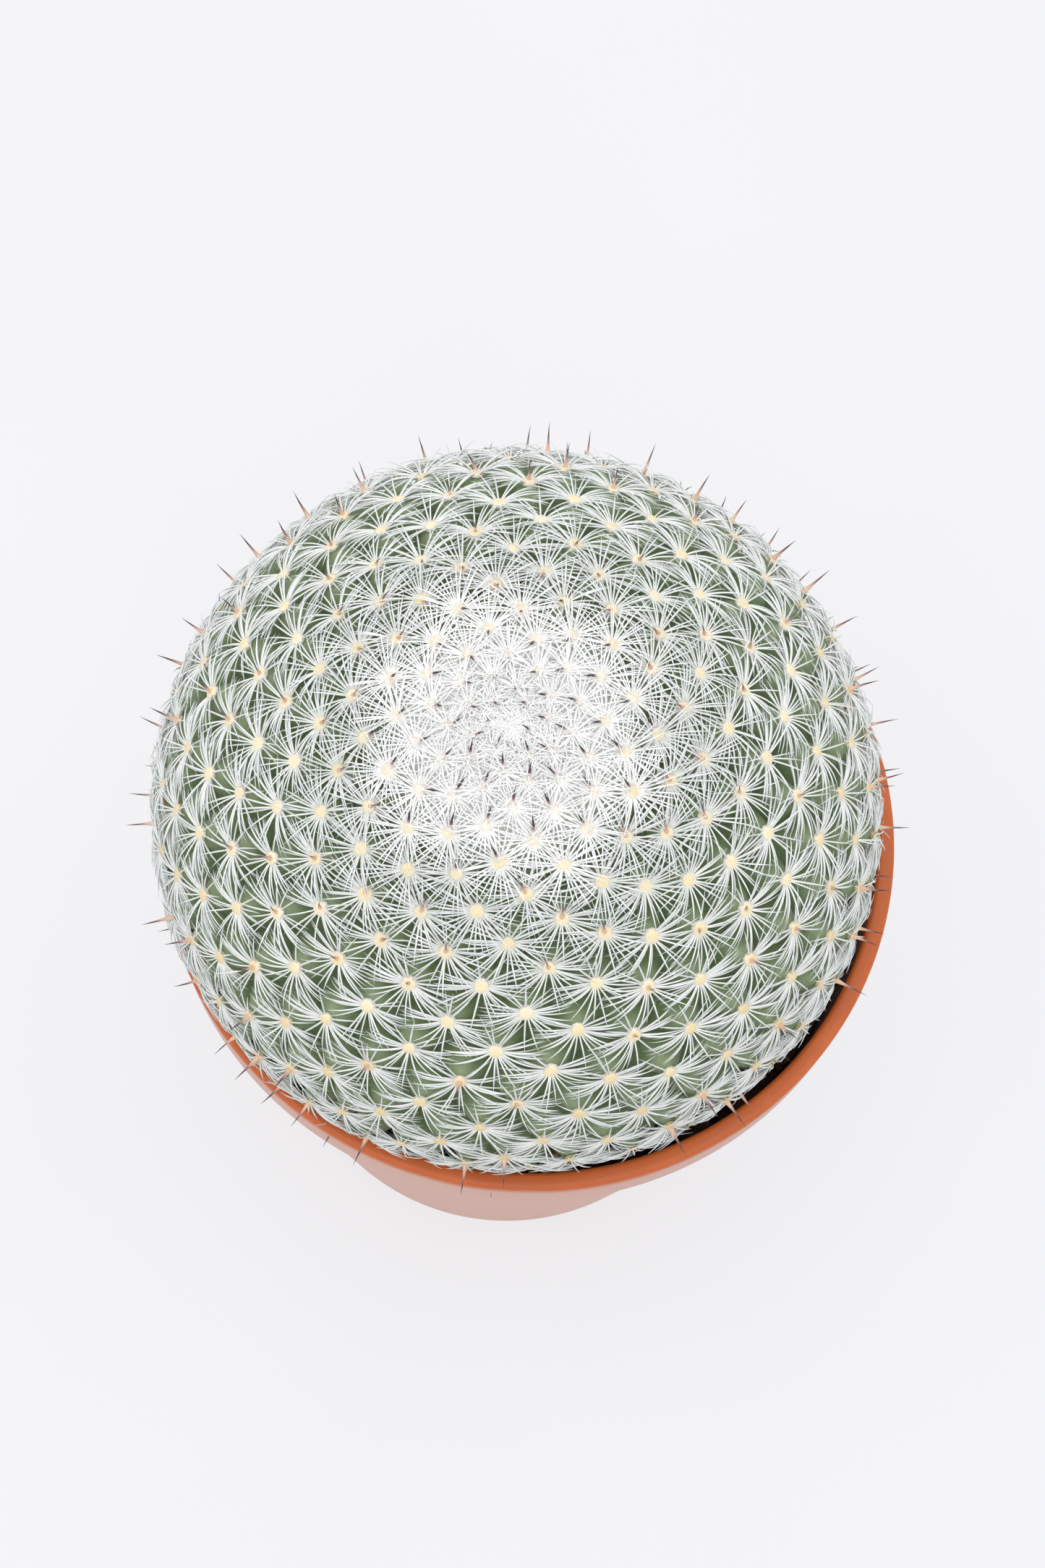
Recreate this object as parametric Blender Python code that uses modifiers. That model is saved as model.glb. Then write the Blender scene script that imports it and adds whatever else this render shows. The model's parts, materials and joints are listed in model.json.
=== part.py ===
"""A round, spiny cactus growing in a tapered plastic pot.

Three pieces that come apart on a potting bench: the moulded pot, the root ball
of soil, and the cactus stem that sits in a hollow of the soil. The origin is
the middle of the pot's foot, on the surface it stands on, with +Z up. Lengths
are in metres.
"""

import math

import bmesh
import bpy
import numpy as np
from mathutils import Matrix, Vector, noise

COLLECTION_NAME = "potted_round_cactus"
CUTTER_COLLECTION_NAME = "cutters"
FIT_GAP = 0.0003  # clearance between pieces that rest against each other
SMOOTH_ANGLE = math.radians(35.0)

# Pot: a 10.5 cm nursery pot.
POT_RIM_RADIUS = 0.0525
POT_HEIGHT = 0.095
POT_FOOT_RADIUS = 0.036
POT_WALL = 0.0015
LIP_WIDTH = 0.0026  # flat top of the lip, seen from above
LIP_ROUND = 0.0006
COLLAR_HEIGHT = 0.010  # thicker band below the lip
COLLAR_STEP = 0.0012  # how far the collar stands out from the wall below it
COLLAR_DRAFT = 0.0006  # how much the collar narrows towards its lower edge
FLOOR_THICKNESS = 0.0018
FLOOR_LIFT = 0.0022  # the floor is raised above the foot ring
FOOT_RING_WIDTH = 0.0030
FOOT_ROUND = 0.0012
CENTRE_HOLE_RADIUS = 0.0045
DRAIN_HOLE_RADIUS = 0.0038
DRAIN_HOLE_CIRCLE = 0.0230
DRAIN_HOLE_COUNT = 6
POT_STEPS = 72

# Soil: the potting mix, filled to a finger's width below the rim.
SOIL_LEVEL = 0.0830
SOIL_ROUGHNESS = 0.0009
SOIL_LUMP = 0.0060  # size of the lumps on the surface
SOIL_RINGS = 5
SOIL_STEPS = 60

# Stem: a squat ball, a little off centre and leaning slightly.
STEM_RADIUS = 0.0495
STEM_TOP_HEIGHT = 0.0400  # equator to crown
STEM_LOWER_DEPTH = 0.0350  # equator to the buried end
STEM_CENTRE = Vector((-0.0021, -0.0005, 0.1050))
STEM_LEAN_X = math.radians(-2.8)
STEM_LEAN_Y = math.radians(-5.2)
CROWN_DIMPLE = 0.0012
CROWN_DIMPLE_RADIUS = 0.0060

# Tubercles: the warts that carry the spines. They grow in opposite pairs, each
# pair turned by half the golden angle from the one before.
PAIR_TURN = math.radians(137.508 / 2.0)
FIRST_TURN = math.radians(146.8)
FIRST_PAIR_ARC = 0.0016  # from the growing point, along the surface
PAIR_STEP_CROWN = 0.00058
PAIR_STEP_BODY = 0.00041
PAIR_STEP_REACH = 0.0270  # how far the wider crown spacing reaches
GROOVE_DEPTH = 0.0030  # where three tubercles meet
SADDLE_DEPTH = 0.0019  # between two neighbours
CROWN_GROOVE_SHARE = 0.30
GROOVE_FULL_ARC = 0.0300
UNDERSIDE_RINGS = 4
UNDERSIDE_POINTS = 26


def clear_scene() -> None:
    """Remove whatever the scene holds."""
    for obj in list(bpy.data.objects):
        bpy.data.objects.remove(obj, do_unlink=True)


def new_collection(name: str) -> bpy.types.Collection:
    """Make a collection in the scene.

    Args:
        name: the collection's name.

    Returns:
        The new collection.
    """
    collection = bpy.data.collections.new(name)
    bpy.context.scene.collection.children.link(collection)
    return collection


def plain_material(name: str, colour: tuple, roughness: float) -> bpy.types.Material:
    """Make a non-metallic Principled BSDF material.

    Args:
        name: the material's name.
        colour: linear red, green and blue.
        roughness: surface roughness, 0 to 1.

    Returns:
        The new material.
    """
    material = bpy.data.materials.new(name)
    material.use_nodes = True
    shader = material.node_tree.nodes["Principled BSDF"]
    shader.inputs["Base Color"].default_value = (*colour, 1.0)
    shader.inputs["Roughness"].default_value = roughness
    shader.inputs["Metallic"].default_value = 0.0
    return material


def add_object(name: str, mesh: bpy.types.Mesh, collection: bpy.types.Collection):
    """Put a mesh in a collection as an object.

    Args:
        name: the object's name.
        mesh: its mesh.
        collection: where it goes.

    Returns:
        The new object.
    """
    obj = bpy.data.objects.new(name, mesh)
    collection.objects.link(obj)
    return obj


def object_from_bmesh(name: str, bm: bmesh.types.BMesh, collection: bpy.types.Collection):
    """Turn a bmesh into an object and free the bmesh.

    Args:
        name: the object's name.
        bm: the geometry.
        collection: where the object goes.

    Returns:
        The new object.
    """
    mesh = bpy.data.meshes.new(name)
    bm.to_mesh(mesh)
    bm.free()
    return add_object(name, mesh, collection)


def turned(name: str, profile: list, closed: bool, steps: int, collection: bpy.types.Collection):
    """Make a turned shape from a profile in the XZ plane with a Screw modifier.

    Args:
        name: the object's name.
        profile: (radius, height) points, running down the outer side.
        closed: whether the last point joins the first one.
        steps: how many steps a full turn takes.
        collection: where the object goes.

    Returns:
        The new object.
    """
    bm = bmesh.new()
    points = [bm.verts.new((radius, 0.0, height)) for radius, height in profile]
    for first, second in zip(points, points[1:]):
        bm.edges.new((first, second))
    if closed:
        bm.edges.new((points[-1], points[0]))
    obj = object_from_bmesh(name, bm, collection)
    screw = obj.modifiers.new("turn", "SCREW")
    screw.axis = "Z"
    screw.angle = math.tau
    screw.steps = steps
    screw.render_steps = steps
    screw.use_merge_vertices = True
    screw.merge_threshold = 0.00001
    return obj


def cut(target: bpy.types.Object, cutter: bpy.types.Object) -> None:
    """Subtract a cutter from an object.

    Args:
        target: the object that is cut.
        cutter: the closed mesh that is taken away.
    """
    cutter.hide_render = True
    cutter.display_type = "WIRE"
    boolean = target.modifiers.new("cut_" + cutter.name, "BOOLEAN")
    boolean.operation = "DIFFERENCE"
    boolean.solver = "EXACT"
    boolean.object = cutter


def finish(obj: bpy.types.Object, material: bpy.types.Material) -> None:
    """Give an object its material and smooth shading with sharp corners.

    Args:
        obj: the object.
        material: its material.
    """
    obj.data.materials.append(material)
    obj.data.shade_smooth()
    obj.data.set_sharp_from_angle(angle=SMOOTH_ANGLE)


def corner_arc(centre: tuple, radius: float, start: float, end: float, points: int) -> list:
    """Points along a quarter-round in the profile plane.

    Args:
        centre: (radius, height) of the arc's centre.
        radius: the arc's own radius.
        start: first angle in degrees, 0 pointing outward and 90 up.
        end: last angle in degrees.
        points: how many points.

    Returns:
        A list of (radius, height) points.
    """
    angles = [math.radians(start + (end - start) * i / (points - 1)) for i in range(points)]
    return [(centre[0] + radius * math.cos(a), centre[1] + radius * math.sin(a)) for a in angles]


def wall_radius(height: float) -> float:
    """Outer radius of the pot's wall below the collar.

    Args:
        height: height above the foot.

    Returns:
        The radius at that height.
    """
    top_radius = POT_RIM_RADIUS - COLLAR_DRAFT - COLLAR_STEP
    share = height / (POT_HEIGHT - COLLAR_HEIGHT)
    return POT_FOOT_RADIUS + (top_radius - POT_FOOT_RADIUS) * share


def floor_top() -> float:
    """Height of the pot's inner floor."""
    return FLOOR_LIFT + FLOOR_THICKNESS


def pot_profile() -> list:
    """The closed outline of the pot's moulded wall, lip, collar and floor."""
    collar_base = POT_HEIGHT - COLLAR_HEIGHT
    collar_radius = POT_RIM_RADIUS - COLLAR_DRAFT
    lip_inner = POT_RIM_RADIUS - LIP_WIDTH
    foot_inner = POT_FOOT_RADIUS - FOOT_RING_WIDTH
    lip_z = POT_HEIGHT - LIP_ROUND
    outline = corner_arc((POT_RIM_RADIUS - LIP_ROUND, lip_z), LIP_ROUND, 90.0, 0.0, 4)
    outline += [(collar_radius, collar_base + LIP_ROUND)]
    outline += [(collar_radius - LIP_ROUND, collar_base)]
    outline += [(wall_radius(collar_base), collar_base)]
    outline += corner_arc((POT_FOOT_RADIUS - FOOT_ROUND, FOOT_ROUND), FOOT_ROUND, 0.0, -90.0, 4)
    outline += [(foot_inner, 0.0)]
    outline += [(foot_inner - FLOOR_LIFT / 2.0, FLOOR_LIFT)]
    outline += [(CENTRE_HOLE_RADIUS, FLOOR_LIFT)]
    outline += [(CENTRE_HOLE_RADIUS, floor_top())]
    inner_foot = wall_radius(floor_top()) - POT_WALL
    outline += [(inner_foot - FLOOR_THICKNESS, floor_top())]
    outline += [(inner_foot, floor_top() + FLOOR_THICKNESS)]
    outline += [(wall_radius(collar_base) - POT_WALL, collar_base - LIP_WIDTH)]
    outline += [(lip_inner, collar_base + LIP_WIDTH)]
    outline += corner_arc((lip_inner + LIP_ROUND, lip_z), LIP_ROUND, 180.0, 90.0, 4)
    return outline


def make_pot(parts: bpy.types.Collection, cutters: bpy.types.Collection) -> bpy.types.Object:
    """Build the pot, with its drain holes cut through the raised floor."""
    pot = turned("pot", pot_profile(), True, POT_STEPS, parts)
    bm = bmesh.new()
    for index in range(DRAIN_HOLE_COUNT):
        angle = math.tau * index / DRAIN_HOLE_COUNT
        spot = Vector((math.cos(angle), math.sin(angle), 0.0)) * DRAIN_HOLE_CIRCLE
        spot.z = FLOOR_LIFT + FLOOR_THICKNESS / 2.0
        bmesh.ops.create_cone(
            bm,
            cap_ends=True,
            segments=20,
            radius1=DRAIN_HOLE_RADIUS,
            radius2=DRAIN_HOLE_RADIUS,
            depth=FLOOR_THICKNESS * 3.0,
            matrix=Matrix.Translation(spot),
        )
    cut(pot, object_from_bmesh("drain_hole_cutter", bm, cutters))
    finish(pot, plain_material("terracotta_plastic", (0.42, 0.13, 0.045), 0.5))
    return pot


def soil_profile() -> list:
    """The outline of the root ball, from the top's middle out and down to the axis."""
    collar_base = POT_HEIGHT - COLLAR_HEIGHT
    wall_foot = floor_top() + FLOOR_THICKNESS
    foot_radius = wall_radius(floor_top()) - POT_WALL - FIT_GAP
    shoulder = wall_radius(collar_base) - POT_WALL
    slope = (shoulder - wall_radius(floor_top()) + POT_WALL) / (collar_base - LIP_WIDTH - wall_foot)
    top_radius = foot_radius + slope * (SOIL_LEVEL - wall_foot) - SOIL_ROUGHNESS / 2.0
    rings = [(top_radius * i / SOIL_RINGS, SOIL_LEVEL) for i in range(SOIL_RINGS + 1)]
    rings += [(foot_radius, wall_foot + FIT_GAP)]
    rings += [(foot_radius - FLOOR_THICKNESS, floor_top() + FIT_GAP)]
    rings += [(0.0, floor_top() + FIT_GAP)]
    return rings


def stem_frame() -> Matrix:
    """The transform from the stem's own frame, origin at its equator, to the pot's."""
    axis = Vector((math.sin(STEM_LEAN_X), math.sin(STEM_LEAN_Y), 1.0)).normalized()
    turn = Vector((0.0, 0.0, 1.0)).rotation_difference(axis)
    return Matrix.Translation(STEM_CENTRE) @ turn.to_matrix().to_4x4()


def stem_hollow(cutters: bpy.types.Collection) -> bpy.types.Object:
    """The smooth ball that presses the stem's seat into the soil."""
    bm = bmesh.new()
    bmesh.ops.create_uvsphere(bm, u_segments=48, v_segments=32, radius=1.0)
    # A faceted ball's flats lie inside its true surface, so the seat is a little wider.
    seat_gap = FIT_GAP * 2.0
    size = Vector((STEM_RADIUS + seat_gap, STEM_RADIUS + seat_gap, STEM_LOWER_DEPTH + seat_gap))
    bmesh.ops.transform(bm, matrix=stem_frame() @ Matrix.Diagonal((*size, 1.0)), verts=bm.verts)
    return object_from_bmesh("stem_hollow_cutter", bm, cutters)


def make_soil(parts: bpy.types.Collection, cutters: bpy.types.Collection) -> bpy.types.Object:
    """Build the root ball with a lumpy top and the seat of the stem."""
    blank = turned("soil_blank", soil_profile(), False, SOIL_STEPS, cutters)
    graph = bpy.context.evaluated_depsgraph_get()
    mesh = bpy.data.meshes.new_from_object(blank.evaluated_get(graph))
    bpy.data.objects.remove(blank, do_unlink=True)
    for vertex in mesh.vertices:
        if vertex.co.z > SOIL_LEVEL - FIT_GAP:
            vertex.co.z += SOIL_ROUGHNESS * noise.noise(vertex.co / SOIL_LUMP)
    soil = add_object("soil", mesh, parts)
    cut(soil, stem_hollow(cutters))
    finish(soil, plain_material("potting_mix", (0.05, 0.03, 0.02), 0.95))
    return soil


def stem_outline() -> tuple:
    """The stem's outline from the growing point down to the buried end.

    Returns:
        Arrays of the arc length, the radius and the height above the equator.
    """
    angle = np.linspace(0.0, math.pi, 721)
    half_height = np.where(angle < math.pi / 2.0, STEM_TOP_HEIGHT, STEM_LOWER_DEPTH)
    radius = STEM_RADIUS * np.sin(angle)
    height = half_height * np.cos(angle)
    steps = np.hypot(np.diff(radius), np.diff(height))
    return np.concatenate([[0.0], np.cumsum(steps)]), radius, height


def tubercle_tips(outline: tuple, last_arc: float) -> list:
    """Where the tubercles' tips stand, pair after pair from the growing point.

    Args:
        outline: the stem's outline.
        last_arc: arc length at which the tubercles end.

    Returns:
        A list of points on the stem's surface, in its own frame.
    """
    arcs, radii, heights = outline
    tips = []
    arc = FIRST_PAIR_ARC
    turn = FIRST_TURN
    while arc < last_arc:
        radius = float(np.interp(arc, arcs, radii))
        height = float(np.interp(arc, arcs, heights))
        for side in (0.0, math.pi):
            tips.append((radius * math.cos(turn + side), radius * math.sin(turn + side), height))
        crown_share = math.exp(-((arc / PAIR_STEP_REACH) ** 2))
        arc += PAIR_STEP_BODY + (PAIR_STEP_CROWN - PAIR_STEP_BODY) * crown_share
        turn += PAIR_TURN
    return tips


def underside_points(outline: tuple, first_arc: float) -> list:
    """Rings of points that close the smooth, buried end of the stem.

    Args:
        outline: the stem's outline.
        first_arc: arc length at which the tubercles end.

    Returns:
        A list of points on the stem's surface, in its own frame.
    """
    arcs, radii, heights = outline
    points = [(0.0, 0.0, -STEM_LOWER_DEPTH)]
    for ring in range(UNDERSIDE_RINGS):
        share = (ring + 0.5) / UNDERSIDE_RINGS
        arc = first_arc + (arcs[-1] - first_arc) * share
        radius = float(np.interp(arc, arcs, radii))
        height = float(np.interp(arc, arcs, heights))
        count = max(6, round(UNDERSIDE_POINTS * (1.0 - share)))
        for index in range(count):
            turn = math.tau * (index + 0.5 * (ring % 2)) / count
            points.append((radius * math.cos(turn), radius * math.sin(turn), height))
    return points


def sink(vertex: bmesh.types.BMVert, depth: float, outline: tuple, last_arc: float) -> None:
    """Lay a vertex on the stem's surface and then sink it by its share of a depth.

    Args:
        vertex: the vertex to move.
        depth: how deep it would sink on a full-grown tubercle.
        outline: the stem's outline.
        last_arc: arc length at which the tubercles end.
    """
    arcs, _, heights = outline
    half_height = STEM_TOP_HEIGHT if vertex.co.z > 0.0 else STEM_LOWER_DEPTH
    scale = Vector((STEM_RADIUS, STEM_RADIUS, half_height))
    on_ball = Vector(vertex.co[i] / scale[i] for i in range(3)).normalized()
    normal = Vector(on_ball[i] / scale[i] for i in range(3)).normalized()
    surface = Vector(on_ball[i] * scale[i] for i in range(3))
    arc = float(np.interp(-surface.z, -heights, arcs))
    grown = min(1.0, CROWN_GROOVE_SHARE + (1.0 - CROWN_GROOVE_SHARE) * arc / GROOVE_FULL_ARC)
    buried = min(1.0, max(0.0, (last_arc - arc) / (2.0 * GROOVE_DEPTH)))
    dimple = CROWN_DIMPLE * math.exp(-((arc / CROWN_DIMPLE_RADIUS) ** 2))
    vertex.co = surface - normal * (depth * grown * buried + dimple)


def make_stem(parts: bpy.types.Collection) -> bpy.types.Object:
    """Build the stem as one solid, every tubercle a low pyramid in its spiral row."""
    outline = stem_outline()
    arcs, _, heights = outline
    buried_height = SOIL_LEVEL - STEM_CENTRE.z
    last_arc = float(np.interp(-buried_height, -heights, arcs))
    bm = bmesh.new()
    for point in tubercle_tips(outline, last_arc) + underside_points(outline, last_arc):
        bm.verts.new(point)
    bmesh.ops.convex_hull(bm, input=bm.verts)
    bmesh.ops.triangulate(bm, faces=bm.faces)
    split = bmesh.ops.subdivide_edges(bm, edges=bm.edges, cuts=1, use_grid_fill=True)
    saddles = {item for item in split["geom_inner"] if isinstance(item, bmesh.types.BMVert)}
    tips = set(bm.verts) - saddles
    between_three = [face for face in bm.faces if saddles.issuperset(face.verts)]
    grooves = bmesh.ops.poke(bm, faces=between_three)["verts"]
    for vertices, depth in ((tips, 0.0), (saddles, SADDLE_DEPTH), (grooves, GROOVE_DEPTH)):
        for vertex in vertices:
            sink(vertex, depth, outline, last_arc)
    bmesh.ops.transform(bm, matrix=stem_frame(), verts=bm.verts)
    bmesh.ops.recalc_face_normals(bm, faces=bm.faces)
    stem = object_from_bmesh("cactus_stem", bm, parts)
    finish(stem, plain_material("cactus_skin", (0.12, 0.22, 0.09), 0.6))
    return stem


def main() -> None:
    """Build the potted cactus."""
    clear_scene()
    parts = new_collection(COLLECTION_NAME)
    cutters = new_collection(CUTTER_COLLECTION_NAME)
    make_pot(parts, cutters)
    make_soil(parts, cutters)
    make_stem(parts)


if __name__ == "__main__":
    main()
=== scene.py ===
"""The looks of a round, spiny cactus in a terracotta-coloured plastic nursery pot.

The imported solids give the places: the pot, the soil and the stem. This script
builds the surfaces that the eye reads: the tubercled skin, the woolly areoles,
the combs of white radial spines, the dark-tipped central spines, the wool of
the crown, the crumbs of the soil and the moulded pot. Lengths are in metres.
"""

from __future__ import annotations

import json
import logging
import math
import random
from collections.abc import Callable, Iterable
from dataclasses import dataclass
from enum import Enum
from functools import partial

import bmesh
import bpy
import numpy as np
from bmesh.types import BMesh
from bpy.types import Material, Mesh, Node, NodeSocket, NodeTree, Object
from mathutils import Matrix, Vector, kdtree, noise

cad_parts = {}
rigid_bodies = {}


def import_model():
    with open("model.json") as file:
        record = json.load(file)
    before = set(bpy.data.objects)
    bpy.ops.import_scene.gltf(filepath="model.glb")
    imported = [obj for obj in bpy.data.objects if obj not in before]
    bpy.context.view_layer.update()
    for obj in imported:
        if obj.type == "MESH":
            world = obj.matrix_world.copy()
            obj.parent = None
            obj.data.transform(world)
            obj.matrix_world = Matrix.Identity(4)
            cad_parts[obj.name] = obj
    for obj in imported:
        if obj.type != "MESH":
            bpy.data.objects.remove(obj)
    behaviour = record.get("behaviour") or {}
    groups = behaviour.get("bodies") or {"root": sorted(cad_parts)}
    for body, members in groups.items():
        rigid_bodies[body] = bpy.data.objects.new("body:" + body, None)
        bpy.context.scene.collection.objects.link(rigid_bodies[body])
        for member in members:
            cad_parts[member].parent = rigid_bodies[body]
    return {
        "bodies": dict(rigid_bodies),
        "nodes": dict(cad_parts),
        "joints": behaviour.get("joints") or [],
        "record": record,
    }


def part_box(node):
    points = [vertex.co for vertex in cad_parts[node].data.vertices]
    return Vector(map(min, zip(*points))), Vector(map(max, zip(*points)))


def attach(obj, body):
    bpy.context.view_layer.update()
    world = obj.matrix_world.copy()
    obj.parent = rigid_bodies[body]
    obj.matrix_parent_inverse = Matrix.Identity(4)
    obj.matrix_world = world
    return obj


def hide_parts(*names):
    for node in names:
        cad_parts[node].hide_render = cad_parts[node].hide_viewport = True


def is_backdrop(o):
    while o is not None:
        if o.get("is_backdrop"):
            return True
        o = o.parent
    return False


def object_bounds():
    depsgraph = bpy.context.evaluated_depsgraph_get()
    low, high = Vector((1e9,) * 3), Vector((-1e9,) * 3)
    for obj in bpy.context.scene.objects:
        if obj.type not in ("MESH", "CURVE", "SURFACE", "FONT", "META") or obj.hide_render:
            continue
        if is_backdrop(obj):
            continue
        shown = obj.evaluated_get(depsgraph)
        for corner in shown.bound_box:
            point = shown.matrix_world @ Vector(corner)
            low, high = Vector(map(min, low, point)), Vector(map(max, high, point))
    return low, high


Stops = tuple[tuple[float, str], ...]
Range = tuple[float, float]
Add = Callable[..., Node]

LOG = logging.getLogger("potted_cactus")
ROOT_BODY = "root"
MM = 0.001
SEED = 7
SPINE_MAP = "spine_run"  # across: which spine; up: from foot to tip
BAKE_MAP = "OFBake"
SPINE_STRIPS = 61  # how many different spines the map tells apart


def linear(hex_colour: str) -> tuple[float, float, float, float]:
    """Turn an sRGB hex colour into linear RGBA.

    Args:
        hex_colour: six hex digits, such as "C8783C".

    Returns:
        Linear red, green, blue and an alpha of 1.
    """
    channels = [int(hex_colour[i : i + 2], 16) / 255.0 for i in (0, 2, 4)]
    values = [c / 12.92 if c <= 0.04045 else ((c + 0.055) / 1.055) ** 2.4 for c in channels]
    return (values[0], values[1], values[2], 1.0)


def feed(tree: NodeTree, node: Node, inputs: dict) -> None:
    """Set a node's inputs to values or link them to what feeds them.

    Args:
        tree: the material's node tree.
        node: the node.
        inputs: input name or index to a value, an output, or a node that feeds it
            from the first output it has in use.
    """
    for key, value in inputs.items():
        if isinstance(value, Node):
            value = next(output for output in value.outputs if output.enabled)
        if isinstance(value, NodeSocket):
            tree.links.new(value, node.inputs[key])
        else:
            node.inputs[key].default_value = value


def add_node(
    tree: NodeTree,
    kind: str,
    inputs: dict | None = None,
    stops: Stops = (),
    **settings: object,
) -> Node:
    """Add a shader node with its settings, its input values and its links.

    Args:
        tree: the material's node tree.
        kind: the node's type name without its leading "ShaderNode".
        inputs: what feeds its inputs.
        stops: a colour ramp's (position, sRGB hex colour) stops from low to high.
        **settings: the node's own properties.

    Returns:
        The new node.
    """
    node = tree.nodes.new("ShaderNode" + kind)
    for name, value in settings.items():
        setattr(node, name, value)
    if stops:
        elements = node.color_ramp.elements
        while len(elements) < len(stops):
            elements.new(1.0)
        for element, (position, colour) in zip(elements, stops):
            element.position = position
            element.color = linear(colour)
    feed(tree, node, inputs or {})
    return node


def smooth_step(value: float, low: float, high: float) -> float:
    """Ease from 0 at low to 1 at high.

    Args:
        value: the number to place between the two.
        low: where the step starts.
        high: where it ends.

    Returns:
        A number from 0 to 1.
    """
    share = min(1.0, max(0.0, (value - low) / (high - low)))
    return share * share * (3.0 - 2.0 * share)


def between(start: float, end: float, share: float) -> float:
    """Blend from start to end by a share from 0 to 1."""
    return start + (end - start) * share


def frame_of(place: Vector, x_axis: Vector, y_axis: Vector, z_axis: Vector) -> Matrix:
    """The frame that stands at a place with these three axes."""
    return Matrix.Translation(place) @ Matrix((x_axis, y_axis, z_axis)).transposed().to_4x4()


def mesh_of(name: str, bm: BMesh) -> Mesh:
    """Turn a bmesh into a mesh and free it.

    Args:
        name: the mesh's name.
        bm: its geometry.

    Returns:
        The new mesh.
    """
    mesh = bpy.data.meshes.new(name)
    bm.to_mesh(mesh)
    bm.free()
    return mesh


def joined(parts: Iterable[BMesh]) -> BMesh:
    """Join bmeshes into one, freeing each.

    Args:
        parts: the bmeshes.

    Returns:
        The whole.
    """
    whole = bmesh.new()
    scratch = bpy.data.meshes.new("scratch")
    for part in parts:
        part.to_mesh(scratch)
        part.free()
        whole.from_mesh(scratch)
    bpy.data.meshes.remove(scratch)
    return whole


def add_object(name: str, data: bpy.types.ID) -> Object:
    """Make an object and put it in the scene.

    Args:
        name: the object's name.
        data: its mesh, lamp or camera.

    Returns:
        The new object, at the origin.
    """
    obj = bpy.data.objects.new(name, data)
    bpy.context.scene.collection.objects.link(obj)
    return obj


def wear(obj: Object, material: Material) -> None:
    """Put one material on an object and shade it smooth.

    Args:
        obj: the object.
        material: what it is made of.
    """
    obj.data.materials.clear()
    obj.data.materials.append(material)
    obj.data.shade_smooth()


def make_piece(name: str, bm: BMesh, material: Material) -> Object:
    """Turn a bmesh into a finished piece of the scene.

    Args:
        name: the piece's name.
        bm: its geometry, freed here.
        material: what it is made of.

    Returns:
        The new object, at the origin.
    """
    obj = add_object(name, mesh_of(name, bm))
    wear(obj, material)
    LOG.info("%s: %d faces", name, len(obj.data.polygons))
    return obj


# ---- finishes


@dataclass(frozen=True)
class Finish:
    """What every finish has: a name, a main colour and how it meets light."""

    name: str
    colour: str
    roughness: float
    ior: float

    def material(self) -> Material:
        """Build the material.

        Returns:
            The material, with the finish's own pattern on it.
        """
        material = bpy.data.materials.new(self.name)
        material.use_nodes = True
        tree = material.node_tree
        shader = tree.nodes["Principled BSDF"]
        light = {"Roughness": self.roughness, "IOR": self.ior, "Metallic": 0.0}
        feed(tree, shader, {"Base Color": linear(self.colour), **light})
        feed(tree, shader, self.paint(partial(add_node, tree)))
        return material

    def paint(self, add: Add) -> dict:
        """What feeds the shader beside the plain values. A plain finish adds nothing."""
        return {}


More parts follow.
